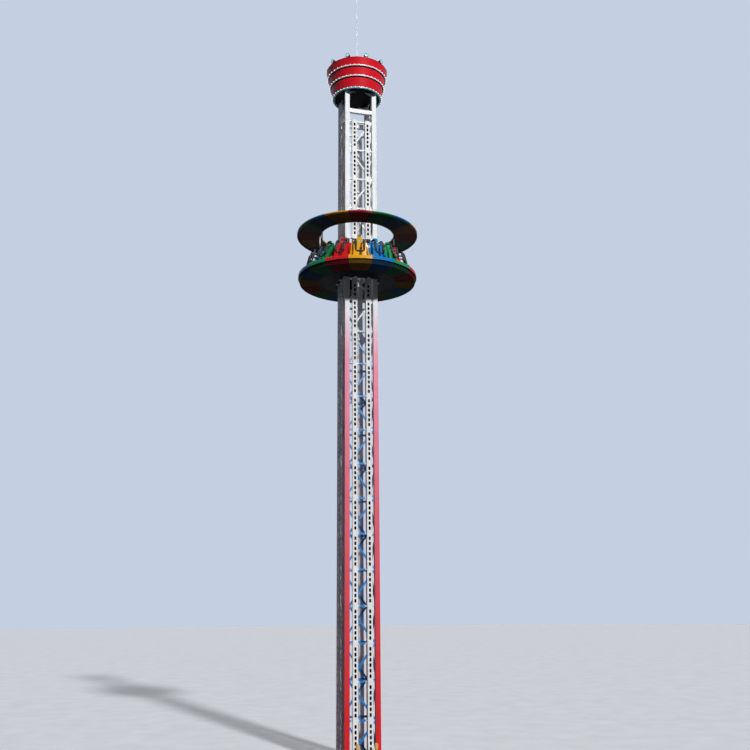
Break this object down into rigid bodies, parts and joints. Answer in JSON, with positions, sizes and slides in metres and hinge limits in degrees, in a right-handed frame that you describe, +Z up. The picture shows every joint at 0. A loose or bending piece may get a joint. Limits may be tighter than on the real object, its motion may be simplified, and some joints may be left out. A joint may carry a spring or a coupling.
{
  "type": "drop tower ride",
  "caption": "Drop tower ride: a lattice tower with perforated guide rails, a round ring of outward-facing seats under a canopy that rides up and down it, and a flared crown.",
  "frame": {"origin": "middle of the base frame's underside, on the ground, on the tower's axis", "axes": "+Z up the tower, -Y out of the front face, +X to the right seen from the front"},
  "size_m": [4.52, 4.52, 30.005],
  "materials": {
    "grey_steel": "satin, dusty",
    "yellow_rubber": "matt",
    "faded_red_paint": "gloss red that fades to white up the tower",
    "faded_blue_paint": "gloss blue that fades to white up the tower",
    "white_paint": "gloss",
    "black_paint": "satin",
    "red_panel": "gloss",
    "lamp_blue": "gloss",
    "galvanised": "dull",
    "roller_rubber": "matt",
    "white_nylon": "matt",
    "yellow_shell": "gloss moulded shell",
    "blue_shell": "gloss moulded shell",
    "green_shell": "gloss moulded shell",
    "red_shell": "gloss moulded shell",
    "canopy_trim": "satin",
    "canopy_panel": "gloss, one of four colours to a sector",
    "black_foam": "matt foam"
  },
  "bodies": {
    "tower": {"base_frame": "grey_steel", "buffers": "yellow_rubber", "corner_posts": "faded_red_paint", "side_front": "faded_blue_paint", "side_right": "faded_blue_paint", "side_back": "faded_blue_paint", "side_left": "faded_blue_paint", "rails_front": "white_paint", "rails_right": "white_paint", "rails_back": "white_paint", "rails_left": "white_paint", "head_frame": "white_paint", "crown_floor": "black_paint", "crown_bands": "red_panel", "bulb_ledges": "white_paint", "crown_roof": "red_panel", "floodlights": "lamp_blue", "lightning_rod": "galvanised"},
    "seat_ring": {"carriage_frame": "black_paint", "guide_rollers": "roller_rubber", "shoe_brackets": "white_paint", "guide_shoes": "white_nylon", "gondola_floor": "black_paint", "seat_drum": "black_paint", "seats_yellow": "yellow_shell", "seats_blue": "blue_shell", "seats_green": "green_shell", "seats_red": "red_shell", "canopy_frame": "canopy_trim", "canopy_panels": "canopy_panel", "canopy_posts": "white_paint"},
    "restraint_01": {"restraint_01": "black_foam"},
    "restraint_02": {"restraint_02": "black_foam"},
    "restraint_03": {"restraint_03": "black_foam"},
    "restraint_04": {"restraint_04": "black_foam"},
    "restraint_05": {"restraint_05": "black_foam"},
    "restraint_06": {"restraint_06": "black_foam"},
    "restraint_07": {"restraint_07": "black_foam"},
    "restraint_08": {"restraint_08": "black_foam"},
    "restraint_09": {"restraint_09": "black_foam"},
    "restraint_10": {"restraint_10": "black_foam"},
    "restraint_11": {"restraint_11": "black_foam"},
    "restraint_12": {"restraint_12": "black_foam"},
    "restraint_13": {"restraint_13": "black_foam"},
    "restraint_14": {"restraint_14": "black_foam"},
    "restraint_15": {"restraint_15": "black_foam"},
    "restraint_16": {"restraint_16": "black_foam"}
  },
  "joints": [
    {"name": "seat_ring_lift", "type": "slide", "parent": "tower", "child": "seat_ring", "axis": [0, 0, 1], "range_m": [-15.82, 5.4]},
    {"name": "restraint_01_hinge", "type": "hinge", "parent": "seat_ring", "child": "restraint_01", "pos_m": [-0.2942, -1.47902, 17.694], "axis": [-0.9808, 0.1951, 0], "range_deg": [0, 85]},
    {"name": "restraint_02_hinge", "type": "hinge", "parent": "seat_ring", "child": "restraint_02", "pos_m": [0.2942, -1.47902, 17.694], "axis": [-0.9808, -0.1951, 0], "range_deg": [0, 85]},
    {"name": "restraint_03_hinge", "type": "hinge", "parent": "seat_ring", "child": "restraint_03", "pos_m": [0.8378, -1.25386, 17.694], "axis": [-0.8315, -0.5556, 0], "range_deg": [0, 85]},
    {"name": "restraint_04_hinge", "type": "hinge", "parent": "seat_ring", "child": "restraint_04", "pos_m": [1.25386, -0.8378, 17.694], "axis": [-0.5556, -0.8315, 0], "range_deg": [0, 85]},
    {"name": "restraint_05_hinge", "type": "hinge", "parent": "seat_ring", "child": "restraint_05", "pos_m": [1.47902, -0.2942, 17.694], "axis": [-0.1951, -0.9808, 0], "range_deg": [0, 85]},
    {"name": "restraint_06_hinge", "type": "hinge", "parent": "seat_ring", "child": "restraint_06", "pos_m": [1.47902, 0.2942, 17.694], "axis": [0.1951, -0.9808, 0], "range_deg": [0, 85]},
    {"name": "restraint_07_hinge", "type": "hinge", "parent": "seat_ring", "child": "restraint_07", "pos_m": [1.25386, 0.8378, 17.694], "axis": [0.5556, -0.8315, 0], "range_deg": [0, 85]},
    {"name": "restraint_08_hinge", "type": "hinge", "parent": "seat_ring", "child": "restraint_08", "pos_m": [0.8378, 1.25386, 17.694], "axis": [0.8315, -0.5556, 0], "range_deg": [0, 85]},
    {"name": "restraint_09_hinge", "type": "hinge", "parent": "seat_ring", "child": "restraint_09", "pos_m": [0.2942, 1.47902, 17.694], "axis": [0.9808, -0.1951, 0], "range_deg": [0, 85]},
    {"name": "restraint_10_hinge", "type": "hinge", "parent": "seat_ring", "child": "restraint_10", "pos_m": [-0.2942, 1.47902, 17.694], "axis": [0.9808, 0.1951, 0], "range_deg": [0, 85]},
    {"name": "restraint_11_hinge", "type": "hinge", "parent": "seat_ring", "child": "restraint_11", "pos_m": [-0.8378, 1.25386, 17.694], "axis": [0.8315, 0.5556, 0], "range_deg": [0, 85]},
    {"name": "restraint_12_hinge", "type": "hinge", "parent": "seat_ring", "child": "restraint_12", "pos_m": [-1.25386, 0.8378, 17.694], "axis": [0.5556, 0.8315, 0], "range_deg": [0, 85]},
    {"name": "restraint_13_hinge", "type": "hinge", "parent": "seat_ring", "child": "restraint_13", "pos_m": [-1.47902, 0.2942, 17.694], "axis": [0.1951, 0.9808, 0], "range_deg": [0, 85]},
    {"name": "restraint_14_hinge", "type": "hinge", "parent": "seat_ring", "child": "restraint_14", "pos_m": [-1.47902, -0.2942, 17.694], "axis": [-0.1951, 0.9808, 0], "range_deg": [0, 85]},
    {"name": "restraint_15_hinge", "type": "hinge", "parent": "seat_ring", "child": "restraint_15", "pos_m": [-1.25386, -0.8378, 17.694], "axis": [-0.5556, 0.8315, 0], "range_deg": [0, 85]},
    {"name": "restraint_16_hinge", "type": "hinge", "parent": "seat_ring", "child": "restraint_16", "pos_m": [-0.8378, -1.25386, 17.694], "axis": [-0.8315, 0.5556, 0], "range_deg": [0, 85]}
  ]
}
